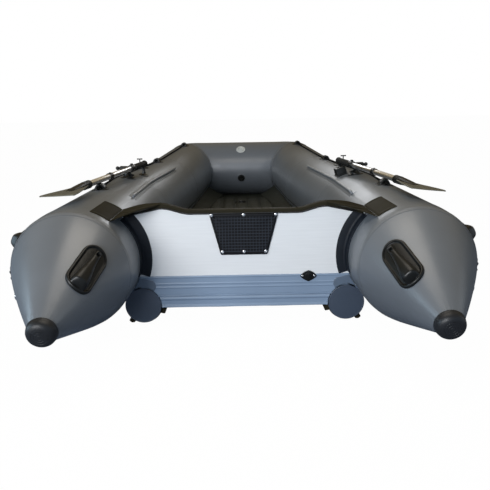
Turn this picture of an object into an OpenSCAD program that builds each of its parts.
// Inflatable dinghy: twin-tube hull with a square bow, stern cones, plywood
// transom, ribbed air floor on two keel tubes, oars in pivoting rowlocks.
// X points to starboard, Y forward, Z up. The modules use hull coordinates, with the
// aft face of the transom board at Y = 0 and the aft tube axes at Z = 0; frame() then
// moves the origin to the middle of the outer motor pad's aft face.

/* [Hull tubes] */
// Outer radius of the buoyancy tubes
tube_r = 250; // [240:1:255]
// Half distance between the two tube axes at the transom
tube_x = 708; // [700:1:720]
// Fabric skin thickness of the tubes
skin = 2.5; // [2:0.1:3]
// Length of the parallel tube aft of the transom
stub = 216; // [190:1:240]
// Where the side tubes start to converge
break_y = 950; // [900:10:1000]
// Axis of the bow cross tube
bow_y = 2930; // [2900:10:3000]
// Rise of the bow tube axis
bow_z = 80; // [60:1:100]
// Half length of the bow cross tube axis
bow_x = 500; // [480:5:520]

/* [Stern cones] */
// Length of the cone to the rim of its end cap
cone_l = 414; // [400:1:430]
// Drop of the cone tip below the tube axis
cone_drop = 83; // [70:1:95]
// Cone radius at the rim of its end cap
cone_tip_r = 47; // [44:0.5:50]

/* [Transom] */
// Board thickness
board_t = 30; // [24:1:36]
// Height of the cut-down for the outboard motor
dip_z = 202; // [195:1:210]
// Height of the shoulders beside the cut-down
shoulder_z = 228; // [222:1:234]
// Half width of the motor pad at its top
pad_top_w = 152; // [140:1:160]
// Half width of the motor pad at its bottom
pad_bottom_w = 104; // [95:1:115]
// Thickness of the outer motor pad
pad_t = 6; // [5:0.5:8]

/* [Air floor and keel tubes] */
// Radius of one floor channel
chan_r = 60; // [58:0.5:60]
// Number of floor channels
chan_n = 7; // [5:2:7]
// Radius of the two keel tubes
keel_r = 82; // [78:1:82]

/* [Oars] */
// Outward angle of the stowed oar
oar_yaw = 9; // [8:0.5:10]
// Radius of the oar shaft
shaft_r = 15; // [14:0.5:15]
// Radial running clearance of the rowlock pivots
run = 0.05; // [0.02:0.01:0.1]

/* [Hidden] */
glue = 0.3;   // gap left for each glued joint
seam = 0.1;   // gap at each welded seam between skin panels

// starboard tube axis from stern to bow mitre, then the port bow corner
tube_pts = [
  [tube_x, -stub, 0],
  [tube_x, break_y, 0],
  [600, 2000, 15],
  [bow_x, bow_y, bow_z],
  [-bow_x, bow_y, bow_z]
];
cone_start = tube_pts[0];
cone_end = [tube_x - 19, -stub - cone_l, -cone_drop];

// starboard keel tube axis, the last point aiming the nose cone
keel_x = 465;
keel_z = -230;
keel_pts = [
  [keel_x, -10, keel_z],
  [keel_x, break_y, keel_z],
  [357, 2000, keel_z + 8],
  [300, 2600, -185]
];

// transom outline and fittings
dip_x = 235;            // half width of the cut-down's level part
dip_run = 125;          // width of the slope up to each shoulder
shoulder_x = 370;       // from here outboard the top edge falls
shoulder_fall = 0.21;
pad_top = 188;
pad_bottom = 3;
pad_cz = (pad_top + pad_bottom) / 2;
pad_corner = 9;
pad_screws = [[-142, 184], [0, 184], [142, 184], [-97, 17], [0, 17], [97, 17]]; // [x, z]
drain_c = [289, -101];  // [x, z]
drain_screw_x = 25;     // drain screws to port and starboard of the drain
band_top = -92;
band_y = -4.2;

// air floor
chan_p = 107;           // channel pitch
chan_z = -180;          // channel axes
floor_w = 381.5;        // half width up to break_y
floor_taper = 0.1035;   // half width lost per mm forward of break_y
floor_aft = 34;
floor_fore = 2770;
floor_wall = 3;         // wall round the edge of the floor
floor_valve_y = 2140;

// rowlocks and oars
row_c = [696, 890, 306];   // rowlock pivot point
row_tilt = 15;             // outward lean of the rowlock's swing axis
oar_x = -41;               // oar axis, inboard of the pivot point
oar_pit = 1.3;             // the blade end hangs lower

hull_grey = [0.36, 0.39, 0.42];
dark = [0.07, 0.07, 0.075];
white = [0.82, 0.84, 0.85];
blue_grey = [0.42, 0.48, 0.56];
floor_grey = [0.2, 0.21, 0.2];
keel_grey = [0.27, 0.31, 0.37];
strake_grey = [0.22, 0.23, 0.22];
relief_grey = [0.75, 0.76, 0.74];

// ---- directions --------------------------------------------------------
function unit(vec) = vec / norm(vec);
function yaw(dir) = atan2(-dir[0], dir[1]);
function pitch(dir) = asin(dir[2]);
function seg_dir(i) = unit(tube_pts[i + 1] - tube_pts[i]);
function seg_len(i) = norm(tube_pts[i + 1] - tube_pts[i]);
// normal of the mitre plane at tube point i
function mitre(i) = unit(seg_dir(i - 1) + seg_dir(i));
function keel_dir(i) = unit(keel_pts[i + 1] - keel_pts[i]);

// ---- placing helpers ---------------------------------------------------
module frame() translate([0, pad_t, -pad_cz]) children();
module port() mirror([1, 0, 0]) children();
module both() {
  children();
  port() children();
}
// turns Z onto dir
module orient(dir)
  rotate([0, acos(dir[2] / norm(dir)), atan2(dir[1], dir[0])]) children();
// turns Y onto dir, keeping X level
module along(dir) rotate([pitch(dir), 0, yaw(dir)]) children();
// fills everything behind a plane set gap beyond point along its normal
module behind(point, normal, gap = seam / 2, size = 1400)
  translate(point + gap * normal) orient(normal)
    translate([-size / 2, -size / 2, -size]) cube(size);
module at_seg(i) translate(tube_pts[i]) along(seg_dir(i)) children();
// frame on the surface of side-tube segment i, dist along it: Y along the tube,
// Z out of it, phi from the top to outboard
module on_tube(i, dist, phi)
  at_seg(i) translate([0, dist, 0]) rotate([0, phi, 0]) translate([0, 0, tube_r]) children();
// frame on the bow cross tube: Y to port, Z out of it, angle from the top to the stern
module on_bow(angle)
  translate([0, bow_y, bow_z]) rotate([angle, 0, 0]) rotate([0, 0, 90])
    translate([0, 0, tube_r]) children();
// frame on the transom at [x, z], with Z pointing aft
module on_transom(at) translate([at[0], 0, at[1]]) rotate([90, 0, 0]) children();

// ---- shape helpers -----------------------------------------------------
// cylinder that starts at height z
module rod(radius, z, height, fn = 48)
  translate([0, 0, z]) cylinder(r = radius, h = height, $fn = fn);
// cylinder along X that starts at x
module x_rod(radius, x, length, fn = 48)
  translate([x, 0, 0]) rotate([0, 90, 0]) cylinder(r = radius, h = length, $fn = fn);
// cylinder along Y, centred
module y_rod(radius, length, fn = 48)
  rotate([90, 0, 0]) cylinder(r = radius, h = length, center = true, $fn = fn);
// bar across the hull, centred in X
module bar(half, y, z, depth, height)
  translate([-half, y, z]) cube([2 * half, depth, height]);
// stands a 2D [x, z] shape up, from aft_y forward
module upright(aft_y, thick)
  translate([0, aft_y + thick, 0]) rotate([90, 0, 0]) linear_extrude(thick) children();
// the tube itself, seen from a frame on its surface
module tube_here(grow, length = 1600)
  translate([0, 0, -tube_r]) y_rod(tube_r + grow, length, 96);
// a patch that follows the tube: a 2D footprint of the given thickness
module patch(thick) intersection() {
  translate([0, 0, -40]) linear_extrude(80) children();
  difference() {
    tube_here(glue + thick);
    tube_here(glue, 1700);
  }
}
// 2D slot shape, its length along Y
module stadium(length, width) {
  square([width, length - width], center = true);
  for (s = [-1, 1]) translate([0, s * (length - width) / 2]) circle(r = width / 2, $fn = 48);
}
// 2D sector of a ring, angles from +X
module ring2d(inner, outer, from, to) intersection() {
  difference() {
    circle(r = outer, $fn = 96);
    circle(r = inner, $fn = 96);
  }
  polygon(concat([[0, 0]], [for (k = [0:4])
    let(angle = from + (to - from) * k / 4) 3 * outer * [cos(angle), sin(angle)]]));
}
// closes a starboard half outline with its mirror image
function mirrored(half) =
  concat(half, [for (i = [len(half) - 1:-1:0]) [-half[i][0], half[i][1]]]);

// ---- buoyancy tubes ----------------------------------------------------
module tube_seg(i) difference() {
  translate(tube_pts[i]) orient(seg_dir(i)) rod(tube_r, -320, seg_len(i) + 640, 96);
  translate(tube_pts[i]) orient(seg_dir(i)) rod(tube_r - skin, -340, seg_len(i) + 680, 96);
  behind(tube_pts[i], i == 0 ? seg_dir(0) : mitre(i));
  behind(tube_pts[i + 1], -mitre(i + 1));
}
module side_tube() color(hull_grey) difference() {
  union() for (i = [0:2]) tube_seg(i);
  valve_at("starboard") valve_hole();
}
module tube_bow() color(hull_grey) difference() {
  translate(tube_pts[3]) rotate([0, -90, 0]) rod(tube_r, -350, 2 * bow_x + 700, 96);
  translate(tube_pts[3]) rotate([0, -90, 0]) rod(tube_r - skin, -360, 2 * bow_x + 720, 96);
  both() behind(tube_pts[3], mitre(3));
  valve_at("bow") valve_hole();
  on_bow(relief_angle) rod(18.5, -60, 120);
}
// internal walls that split the tube into three air chambers, just aft of the bow mitres
module bulkheads() color(hull_grey)
  both() on_tube(2, seg_len(2) - 330, 0) tube_here(-skin - glue, 2);

// ---- stern cones -------------------------------------------------------
cone_axis = unit(cone_end - cone_start);
// point and radius at a fraction of the cone's length
function cone_mid(frac) = cone_start + frac * (cone_end - cone_start);
function cone_r(frac) = tube_r + (cone_tip_r - tube_r) * frac;
module cone_solid(grow = 0, aft = seam / 2, frac = 1.05) hull() {
  translate([tube_x, -stub - aft, 0]) rotate([90, 0, 0])
    cylinder(r = tube_r + grow, h = 0.02, $fn = 72);
  translate(cone_mid(frac)) orient(cone_axis)
    cylinder(r = cone_r(frac) + grow, h = 0.02, $fn = 72);
}
module cone() color(hull_grey) difference() {
  cone_solid();
  cone_solid(-skin, -0.5, 1.06);
}
// domed cap profile: [radius, distance beyond the cone's end]
cap_profile = [
  [50.8, -4], [53, -3], [53.8, 4], [52.6, 14], [48.4, 25], [41, 32],
  [31, 35.6], [0, 37], [0, 33], [34, 32.4], [49.8, 0]
];
module cone_end_caps() color(dark) both()
  translate(cone_end) orient(cone_axis) rotate_extrude($fn = 72) polygon(cap_profile);

// ---- transom -----------------------------------------------------------
function smooth(t) = t <= 0 ? 0 : t >= 1 ? 1 : t * t * (3 - 2 * t);
// height of the board's top edge
function top_z(x) = abs(x) < shoulder_x
  ? dip_z + (shoulder_z - dip_z) * smooth((abs(x) - dip_x) / dip_run)
  : shoulder_z - (abs(x) - shoulder_x) * shoulder_fall;
// points along the top edge, raised by rise
function top_edge(from, to, rise = 0) =
  [for (x = [from:to > from ? 20 : -20:to]) [x, top_z(x) + rise]];
module tube_notches(gap)
  for (s = [-1, 1]) translate([s * tube_x, 0]) circle(r = tube_r + gap, $fn = 96);
module keel_notches()
  for (s = [-1, 1]) translate([s * keel_x, keel_z]) circle(r = keel_r + 1.5, $fn = 72);
module drain_holes() {
  on_transom(drain_c) rod(14, -60, 120);
  for (s = [-1, 1]) on_transom(drain_c + [s * drain_screw_x, 0]) rod(2.1, -16, 40, 24);
}
module transom_board() color(white) difference() {
  upright(0, board_t) difference() {
    polygon(concat([[-560, -190], [560, -190]], top_edge(560, -560)));
    tube_notches(1);
    keel_notches();
  }
  for (at = pad_screws) on_transom(at) rod(2.6, -16, 40, 24);
  drain_holes();
}
// channel that caps the board's top edge
module transom_trim() color(dark) difference() {
  upright(-5, board_t + 10) intersection() {
    polygon(concat(top_edge(-540, 540, -12), top_edge(540, -540, 6)));
    difference() {
      square([1200, 700], center = true);
      tube_notches(7);
    }
  }
  upright(-0.2, board_t + 0.4)
    polygon(concat([[-580, 0], [580, 0]], top_edge(580, -580, 0.2)));
}
// L-section collars that hold the board to the tubes, aft and forward;
// profile: [radius, distance from the board]
flange_profile = [
  [tube_r + glue, 4.2], [tube_r + glue, 52], [tube_r + 4, 52], [tube_r + 4.5, 4.4],
  [tube_r + 46, 4.2], [tube_r + 46, 0.2], [tube_r + 1.2, 0.2], [tube_r + glue, 1.2]
];
module flange() translate([tube_x, 0, 0]) rotate([90, 0, 0]) rotate([0, 0, 128])
  rotate_extrude(angle = 71, $fn = 96) polygon(flange_profile);
// the region above the lower edge of the trim
module trim_region()
  polygon(concat([for (x = [300:10:700]) [x, top_z(x) - 13]], [[700, 300], [300, 300]]));
module transom_flanges() color(dark) both() {
  difference() {
    flange();
    translate([0, -60, band_top - 500]) cube([900, 120, 500]);
    upright(-8, 10) trim_region();
  }
  difference() {
    translate([0, board_t, 0]) mirror([0, 1, 0]) flange();
    upright(board_t - 2, 12) trim_region();
  }
}
// fabric knees from the tube tops to the transom's shoulders
knee_corners = [[546, -158, 199], [551, 102, 203], [367, 33, 240], [367, -3, 240]];
module transom_gussets() color(dark) both() {
  translate([tube_x, -160, 0]) rotate([-90, 0, 0]) linear_extrude(265)
    ring2d(tube_r + glue, tube_r + 3.3, -127.6, -108.5);
  hull() for (corner = knee_corners) translate(corner) cylinder(r = 2.5, h = 2.5, $fn = 12);
}
module pad2d(grow = 0) hull() for (s = [-1, 1]) {
  translate([s * (pad_top_w - pad_corner + grow), pad_top - pad_corner + grow])
    circle(r = pad_corner, $fn = 32);
  translate([s * (pad_bottom_w - pad_corner + grow), pad_bottom + pad_corner - grow])
    circle(r = pad_corner, $fn = 32);
}
module motor_pad_outer() color(dark) difference() {
  upright(-pad_t, pad_t - 0.1) pad2d();
  for (at = pad_screws) on_transom(at) {
    rod(3, -1, 20, 24);
    rod(5.7, pad_t - 2.4, 20, 24);
  }
}
module motor_pad_inner() color(dark) upright(board_t + 0.1, 6) pad2d(-4);
module transom_screws() color("silver") {
  for (at = pad_screws) on_transom(at) {
    rod(2.5, -15, 19, 24);
    rod(5.5, pad_t - 2.35, 2, 24);
  }
  for (s = [-1, 1]) on_transom(drain_c + [s * drain_screw_x, 0]) {
    rod(2, -15, 24.5, 24);
    rod(4, 9.1, 1.6, 24);
  }
}
// ribbed band low on the board's aft face
module transom_band() color(blue_grey) difference() {
  union() {
    upright(band_y, 4) difference() {
      polygon(mirrored([[478, band_top], [452, -181]]));
      tube_notches(5);
      keel_notches();
    }
    for (z = [-112, -133, -154]) bar(380, -7, z - 4, 3.5, 8);
  }
  drain_holes();
  // the ribs stop beside the drain flange
  translate([drain_c[0] - 36, -20, drain_c[1] - 28]) cube([72, 20 + band_y, 56]);
}
// ribbed band between the keel tubes, with a shelf under the board
module keel_band() color(blue_grey) difference() {
  union() {
    bar(371, -6, -241, 5, 47);
    bar(371, -3, -241, board_t + 5, 3);
    for (z = [-205, -219, -233]) bar(368, -9, z - 3, 4, 6);
  }
  for (s = [-1, 1]) on_transom([s * keel_x, keel_z]) rod(keel_r + 4.5, -100, 200, 72);
}

// ---- air floor ---------------------------------------------------------
// the floor's outline seen from above, as a block
module floor_block(inset = 0) {
  fore_w = floor_w - (floor_fore - break_y) * floor_taper;
  translate([0, 0, -300]) linear_extrude(300) polygon(mirrored([
    [fore_w - inset, floor_fore - inset],
    [floor_w - inset, break_y],
    [floor_w - inset, floor_aft + inset]
  ]));
}
module chan2d(radius, web = 0)
  for (k = [-(chan_n - 1) / 2:(chan_n - 1) / 2]) translate([k * chan_p, chan_z])
    intersection() {
      circle(r = radius, $fn = 72);
      square([chan_p - web, 200], center = true);
    }
module floor_cushion() color(floor_grey) difference() {
  intersection() {
    upright(floor_aft, 2760) {
      chan2d(chan_r);
      translate([-0.5 - chan_p * chan_n / 2, chan_z - 24]) square([chan_p * chan_n + 1, 48]);
    }
    floor_block();
  }
  intersection() {
    upright(floor_aft + floor_wall, 2760) chan2d(chan_r - skin, skin);
    floor_block(floor_wall);
  }
  // a hole through the webs lets all channels fill from one valve
  translate([0, 500, chan_z]) rotate([0, 90, 0])
    cylinder(r = 18, h = chan_p * (chan_n - 1) - 20, center = true, $fn = 32);
  valve_at("floor") valve_hole(50);
}

// ---- keel tubes --------------------------------------------------------
module keel_seg(i, radius) translate(keel_pts[i]) orient(keel_dir(i))
  rod(radius, -40, norm(keel_pts[i + 1] - keel_pts[i]) + 80, 72);
module keel_tube() color(keel_grey) {
  joint = unit(keel_dir(0) + keel_dir(1));
  nose_r = keel_r - 0.5;
  nose_tip_r = 30;
  difference() {
    keel_seg(0, keel_r);
    translate([0, 37 + skin, 0]) keel_seg(0, keel_r - skin);
    behind(keel_pts[0], keel_dir(0), 0, 600);
    behind(keel_pts[1], -joint, size = 600);
  }
  difference() {
    keel_seg(1, keel_r);
    keel_seg(1, keel_r - skin);
    behind(keel_pts[1], joint, size = 600);
    behind(keel_pts[2], -keel_dir(2), size = 600);
  }
  translate(keel_pts[2] + (seam / 2) * keel_dir(2)) orient(keel_dir(2)) difference() {
    cylinder(r1 = nose_r, r2 = nose_tip_r, h = 560, $fn = 72);
    translate([0, 0, -1])
      cylinder(r1 = nose_r - skin, r2 = nose_tip_r - skin, h = 558, $fn = 72);
  }
}
// wear strips round the underside of the keel tubes
guard_r = keel_r + 0.4;
guard_t = 4;
guard_from = 45;
guard_to = 168;
module guard2d() ring2d(guard_r, guard_r + guard_t, guard_from, guard_to);
module guard_lips() {
  rotate(guard_from) translate([guard_r, -16]) square([guard_t, 18]);
  rotate(guard_to) translate([guard_r, -2]) square([guard_t, 14]);
}
module keel_guards() color(dark) both() {
  translate([keel_x, 16, keel_z]) rotate([-90, 0, 0]) linear_extrude(920) {
    guard2d();
    guard_lips();
  }
  translate(keel_pts[1]) along(keel_dir(1)) translate([0, 20, 0]) rotate([-90, 0, 0])
    linear_extrude(980) guard2d();
}

// ---- carry handles -----------------------------------------------------
handle_l = 230;
module carry_handle() {
  translate([0, 0, 26]) y_rod(12.5, handle_l - 86, 32);
  for (s = [-1, 1]) translate([0, s * (handle_l - 92) / 2, 0]) rod(16, 1, 27, 32);
}
// handle and patch on a tube
module tube_handle(width) {
  patch(4) stadium(handle_l + 2, width);
  difference() {
    carry_handle();
    tube_here(2);
  }
}
// point on the cone's surface: frac along its axis, phi from the top to inboard
function cone_pt(frac, phi) = cone_mid(frac) + cone_r(frac) * [-sin(phi), 0, cos(phi)];
// frame there, with Y towards the bow and Z out of the cone
module on_cone(frac, phi) {
  fore = unit(cone_pt(frac - 0.2, phi) - cone_pt(frac + 0.2, phi));
  outboard = unit(cone_pt(frac, phi - 8) - cone_pt(frac, phi + 8));
  out = unit(cross(outboard, fore));
  side = cross(fore, out);
  origin = cone_pt(frac, phi);
  multmatrix([for (i = [0:2]) [side[i], fore[i], out[i], origin[i]]]) children();
}
module stern_handle() difference() {
  on_cone(0.47, 46) {
    carry_handle();
    translate([0, 0, -22]) linear_extrude(25) stadium(handle_l + 2, 110);
  }
  cone_solid(0.8);
}
module carry_handles() color(dark) {
  both() {
    stern_handle();
    on_tube(0, stub - 30, 70) tube_handle(110);
  }
  on_bow(-48) tube_handle(104);
}

// ---- rubbing strake and seat rails -------------------------------------
// flat strip with two ridges, round the outboard side near the height of the tube axis
strake_gap = 0.2;
module strake2d() rotate(90) {
  ring2d(tube_r + glue, tube_r + 4, -102, -84);
  for (from = [-97.5, -91.5]) ring2d(tube_r + 3.5, tube_r + 9, from, from + 3);
}
module rubrail() color(strake_grey) {
  both() for (i = [0:2]) difference() {
    at_seg(i) translate([0, i == 0 ? 6 : -120, 0]) rotate([90, 0, 0]) mirror([0, 0, 1])
      linear_extrude(seg_len(i) + (i == 0 ? 114 : 500)) strake2d();
    if (i > 0) behind(tube_pts[i], mitre(i), strake_gap);
    behind(tube_pts[i + 1], -mitre(i + 1), strake_gap);
  }
  difference() {
    translate([0, bow_y, bow_z]) rotate([90, 0, 0]) rotate([0, 90, 0])
      translate([0, 0, -900]) linear_extrude(1800) strake2d();
    both() behind(tube_pts[3], mitre(3), strake_gap, 2600);
  }
}
// bolt-rope tracks for sliding bench seats, high on the inboard side
module rail2d() rotate(90) {
  ring2d(tube_r + glue, tube_r + 2.5, 29, 41);
  rotate(35) translate([tube_r + 2, -2]) square([12, 4]);
  rotate(35) translate([tube_r + 16, 0]) circle(r = 5.5, $fn = 32);
}
// [segment, distance of the forward end, length]
RAILS = [[0, stub + 938, 538], [1, 700, 690]];
module seat_rails() color(hull_grey) both() for (rail = RAILS)
  at_seg(rail[0]) translate([0, rail[1], 0]) rotate([90, 0, 0])
    linear_extrude(rail[2]) rail2d();

// ---- grab lines --------------------------------------------------------
// [segment, distance, phi]
HOLDERS = [[0, stub + 410, 4], [1, 420, 4], [1, 800, 2], [2, 760, 2]];
module rope_holder() {
  patch(3) circle(r = 45, $fn = 64);
  difference() {
    intersection() {
      translate([0, 0, 7]) y_rod(20, 40, 40);
      translate([-22, -20, -6]) cube([44, 40, 34]);
    }
    translate([0, 0, 12.5]) y_rod(6.2, 60, 32);
    tube_here(2);
  }
}
module rope_holders() color(dark) both()
  for (hold = HOLDERS) on_tube(hold[0], hold[1], hold[2]) rope_holder();

// rope stations: [segment, distance, phi, height above the tube]
ROPE = [
  [0, stub + 372, 4, 12.5], [0, stub + 381, 4, 12.5], [0, stub + 440, 4, 12.5],
  [0, stub + 520, 6, 7], [0, stub + 700, 10, 6.5], [0, stub + 820, 12, 6.5],
  [0, stub + 920, 12, 7],
  [1, 120, 10, 6.5], [1, 330, 4.5, 8], [1, 390, 4, 12.5], [1, 450, 4, 12.5],
  [1, 510, 3.5, 8], [1, 700, 2, 8], [1, 770, 2, 12.5], [1, 830, 2, 12.5], [1, 900, 3, 8],
  [2, 20, 4, 8], [2, 350, 3, 6.5], [2, 680, 2, 8], [2, 730, 2, 12.5], [2, 789, 2, 12.5],
  [2, 798, 2, 12.5]
];
// the point of a rope station in hull coordinates, matching on_tube()
function rope_pt(row) = let(
    turn = yaw(seg_dir(row[0])), tip = pitch(seg_dir(row[0])),
    reach = tube_r + row[3],
    flat = [reach * sin(row[2]), row[1], reach * cos(row[2])],
    tipped = [flat[0], flat[1] * cos(tip) - flat[2] * sin(tip),
      flat[1] * sin(tip) + flat[2] * cos(tip)]
  ) tube_pts[row[0]] + [tipped[0] * cos(turn) - tipped[1] * sin(turn),
    tipped[0] * sin(turn) + tipped[1] * cos(turn), tipped[2]];
// the rope ends are thicker
module rope_ball(k) translate(rope_pt(ROPE[k]))
  sphere(r = k == 0 || k == len(ROPE) - 1 ? 9 : 5, $fn = 10);
module grab_lines() color(dark) both() for (k = [0:len(ROPE) - 2]) hull() {
  rope_ball(k);
  rope_ball(k + 1);
}

// ---- accessory base ----------------------------------------------------
module accessory_base() color(dark) on_tube(1, 60, -20) {
  patch(4) square([74, 96], center = true);
  difference() {
    hull() {
      translate([-31, -35, -4]) cube([62, 70, 8]);
      translate([-22, -26, 42]) cube([44, 52, 4]);
    }
    tube_here(2);
    rod(12, 26, 40);
  }
}

// ---- air valves --------------------------------------------------------
relief_angle = 40;
module valve_at(place) {
  if (place == "port") port() valve_at("starboard") children();
  if (place == "starboard") on_tube(0, stub + 360, -72) children();
  if (place == "bow") on_bow(105) children();
  if (place == "floor") translate([0, floor_valve_y, chan_z + chan_r]) children();
}
module valve_hole(depth = 60) rod(22.5, -depth, 2 * depth);
module valve_body() difference() {
  union() {
    rod(32, glue, 4, 64);
    rod(22, -28, 30);
  }
  rod(15, -20, 60);
  rod(11, -60, 100);
}
// bridge across the bore that guides the poppet stem
module valve_spider() difference() {
  translate([-15.2, -2.5, -19]) cube([30.4, 5, 4]);
  rod(3.1, -30, 40, 32);
}
// fills the space between the flat flange and the round tube
module valve_saddle() difference() {
  rod(32, -4, 5, 64);
  tube_here(glue);
  rod(21, -60, 100);
}
module valve_bodies() color(dark)
  for (place = ["port", "starboard", "bow", "floor"]) valve_at(place) {
    valve_body();
    valve_spider();
    if (place != "floor") valve_saddle();
  }
module valve_cap(place) color(dark) valve_at(place) {
  rod(25, 4.5, 7);
  rod(14.9, -3, 8);
  translate([-20, -2.5, 11]) cube([40, 5, 4]);
}
module valve_poppet(place) color("silver") valve_at(place) {
  rod(14, -31.5, 3.2, 40);
  rod(3, -30, 24, 32);
  rod(7, -6.5, 2, 32);
}
module relief_valve() color(relief_grey) on_bow(relief_angle) difference() {
  union() {
    difference() {
      rod(42, -4, 8.5, 64);
      tube_here(glue);
    }
    rod(18, -22, 24);
    rod(24, 4, 6);
  }
  rod(8, -60, 64, 32);
}

// ---- towing rings ------------------------------------------------------
ring_r = 26;
ring_wire_r = 4;
ring_z = 12;    // height of the ring's hinge bar
module tow_at(place) {
  if (place == "port") port() tow_at("starboard") children();
  if (place == "starboard") on_tube(0, 30, 112) children();
  if (place == "bow") on_bow(-118) children();
}
module tow_patch() {
  patch(3) circle(r = 30, $fn = 64);
  difference() {
    union() {
      translate([0, 0, ring_z]) y_rod(8, 30, 40);
      difference() {
        translate([-14, -15, -3]) cube([28, 30, 13]);
        tube_here(2);
      }
    }
    translate([0, 0, ring_z]) y_rod(ring_wire_r + run, 40, 40);
  }
}
module tow_patches() color(dark)
  for (place = ["port", "starboard", "bow"]) tow_at(place) tow_patch();
// D-ring, turned by hang degrees about its straight bar
module tow_ring(place, hang) color("silver")
  tow_at(place) translate([0, 0, ring_z]) rotate([0, -hang, 0]) {
    y_rod(ring_wire_r, 2 * ring_r, 40);
    rotate([0, 0, -90]) rotate_extrude(angle = 180, $fn = 72)
      translate([ring_r, 0]) circle(r = ring_wire_r, $fn = 40);
  }

// ---- drain -------------------------------------------------------------
module drain_flange() color(dark) on_transom(drain_c) difference() {
  union() {
    translate([0, 0, 4.4]) linear_extrude(4.5) hull() {
      circle(r = 20, $fn = 32);
      for (s = [-1, 1]) translate([s * 26, 0]) circle(r = 6, $fn = 24);
    }
    rod(13.5, -board_t, board_t + 6);
  }
  rod(10.5, -80, 160);
  for (s = [-1, 1]) translate([s * drain_screw_x, 0, 0]) rod(2.1, -20, 60, 24);
}
module drain_plug() color(dark) on_transom(drain_c) {
  rod(10.4, -24, 33.5);
  rod(15, 9.2, 4);
  translate([-3, -12, 12]) cube([6, 24, 6]);
}

// ---- rowlocks and oars -------------------------------------------------
pin_r = 7;           // upright pin of the rowlock
trunnion_r = 7.5;    // level pin of the oar collar
knob_stem_r = 4;
module oar_frame() translate(row_c) rotate([oar_pit, 0, oar_yaw]) children();
module swing_frame() translate(row_c) rotate([0, row_tilt, 0]) children();
// inside oar_frame(): Z runs along the oar's axis towards the blade
module oar_axis() translate([oar_x, 0, 0]) rotate([90, 0, 0]) children();

module oarlock_bases() color(dark) both() difference() {
  union() {
    on_tube(0, stub + row_c[1], -6) patch(4) circle(r = 44, $fn = 64);
    swing_frame() rod(15, -62, 34);
  }
  swing_frame() rod(pin_r + run, -54, 60);
  translate([tube_x, row_c[1], 0]) y_rod(tube_r + glue, 400, 96);
}
module oarlock_pivot() color(dark) difference() {
  union() {
    swing_frame() {
      rod(pin_r, -53, 50);
      rod(11, -27.5, 22);
    }
    oar_frame() x_rod(13, -15, 44);
  }
  oar_frame() x_rod(trunnion_r + run, -30, 80);
}
module oar_collar() color(dark) oar_frame() difference() {
  union() {
    translate([oar_x, 0, 0]) y_rod(shaft_r + 6, 44);
    x_rod(trunnion_r, oar_x + shaft_r + 3, 53);
    translate([oar_x + shaft_r + 3, -9, -9]) cube([7, 18, 18]);
  }
  translate([oar_x, 0, 0]) y_rod(shaft_r + run, 60);
  x_rod(knob_stem_r + run, 20, 40, 32);
}
module clamp_knob() color(dark) oar_frame() {
  x_rod(knob_stem_r, 22, 18, 32);
  x_rod(9, 30.5, 4, 40);
  translate([46, 0, 0]) sphere(r = 13, $fn = 40);
}
// ring on the shaft, its bore cut over by a margin at both ends
module shaft_ring(z, height, over = 1) difference() {
  rod(shaft_r + 4, z, height);
  rod(shaft_r - 1, z - over, height + 2 * over);
}
module oar_shaft() color("silver") oar_frame() oar_axis() {
  difference() {
    rod(shaft_r, -200, 840);
    rod(shaft_r - 1.8, -210, 870);
  }
  for (z = [-28, 24]) shaft_ring(z, 4);
  shaft_ring(318, 34, 18);
}
// starboard half of the blade: [x, y] from the rowlock
blade_half = [[20, -640], [52, -700], [78, -800], [80, -905], [70, -932]];
module oar_blade(roll) color(dark) oar_frame() translate([oar_x, 0, 0]) rotate([0, roll, 0])
  difference() {
    union() {
      rotate([90, 0, 0]) rod(shaft_r + 4.5, 560, 190);
      translate([0, 0, -3.5]) linear_extrude(7) polygon(mirrored(blade_half));
      translate([-6, -915, -9]) cube([12, 180, 18]);
    }
    rotate([90, 0, 0]) rod(shaft_r + 0.1, 540, 105);
  }
module oar_grip() color(dark) oar_frame() oar_axis() difference() {
  union() {
    rod(17.5, -236, 191);
    rod(20, -238, 10);
  }
  rod(shaft_r + 0.1, -220, 200);
}
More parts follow.
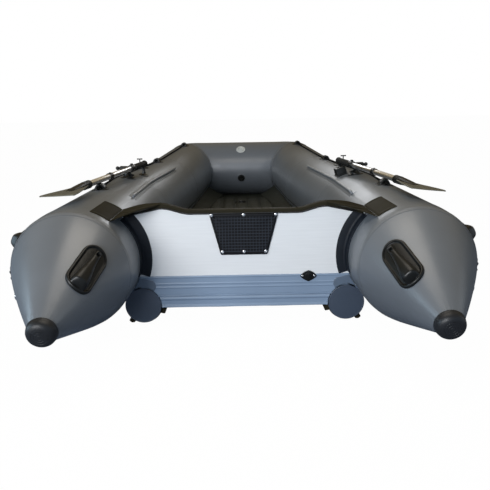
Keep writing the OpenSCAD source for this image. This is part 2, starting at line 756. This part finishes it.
// where the stowed oar's handle lies: a clip on a post, open upward and inboard
module clip_base() on_tube(1, 148, -16.4) children();
module oar_clips() color(dark) both() difference() {
  union() {
    clip_base() patch(3) stadium(76, 56);
    oar_frame() oar_axis() translate([0, 0, -210]) difference() {
      union() {
        cylinder(r = shaft_r + 8.5, h = 22, center = true, $fn = 48);
        translate([-8, -70, -11]) cube([16, 54, 22]);
      }
      cylinder(r = shaft_r + 4.5, h = 40, center = true, $fn = 48);
      translate([-60, -18.3, -30]) cube([60, 60, 60]);
      translate([-60, 4, -30]) cube([120, 60, 60]);
    }
  }
  clip_base() tube_here(glue);
}

frame() port() side_tube();  // tube_port
frame() side_tube();  // tube_starboard
frame() tube_bow();
frame() port() cone();  // cone_port
frame() cone();  // cone_starboard
frame() cone_end_caps();
frame() bulkheads();
frame() transom_board();
frame() transom_trim();
frame() transom_flanges();
frame() transom_gussets();
frame() motor_pad_outer();
frame() motor_pad_inner();
frame() transom_screws();
frame() transom_band();
frame() keel_band();
frame() floor_cushion();
frame() port() keel_tube();  // keel_tube_port
frame() keel_tube();  // keel_tube_starboard
frame() keel_guards();
frame() carry_handles();
frame() rubrail();
frame() rope_holders();
frame() grab_lines();
frame() seat_rails();
frame() valve_bodies();
frame() relief_valve();
frame() tow_patches();
frame() drain_flange();
frame() drain_plug();
frame() accessory_base();
frame() oarlock_bases();
frame() oar_clips();
frame() tow_ring("port", 22);  // tow_ring_port
frame() tow_ring("starboard", 22);  // tow_ring_starboard
frame() tow_ring("bow", 28);  // tow_ring_bow
frame() valve_cap("port");  // valve_cap_port
frame() valve_cap("starboard");  // valve_cap_starboard
frame() valve_cap("bow");  // valve_cap_bow
frame() valve_cap("floor");  // valve_cap_floor
frame() valve_poppet("port");  // valve_poppet_port
frame() valve_poppet("starboard");  // valve_poppet_starboard
frame() valve_poppet("bow");  // valve_poppet_bow
frame() valve_poppet("floor");  // valve_poppet_floor
frame() port() oarlock_pivot();  // oarlock_pivot_port
frame() port() oar_collar();  // oar_collar_port
frame() port() clamp_knob();  // clamp_knob_port
frame() port() oar_shaft();  // oar_shaft_port
frame() port() oar_blade(6);  // oar_blade_port
frame() port() oar_grip();  // oar_grip_port
frame() oarlock_pivot();  // oarlock_pivot_starboard
frame() oar_collar();  // oar_collar_starboard
frame() clamp_knob();  // clamp_knob_starboard
frame() oar_shaft();  // oar_shaft_starboard
frame() oar_blade(18);  // oar_blade_starboard
frame() oar_grip();  // oar_grip_starboard
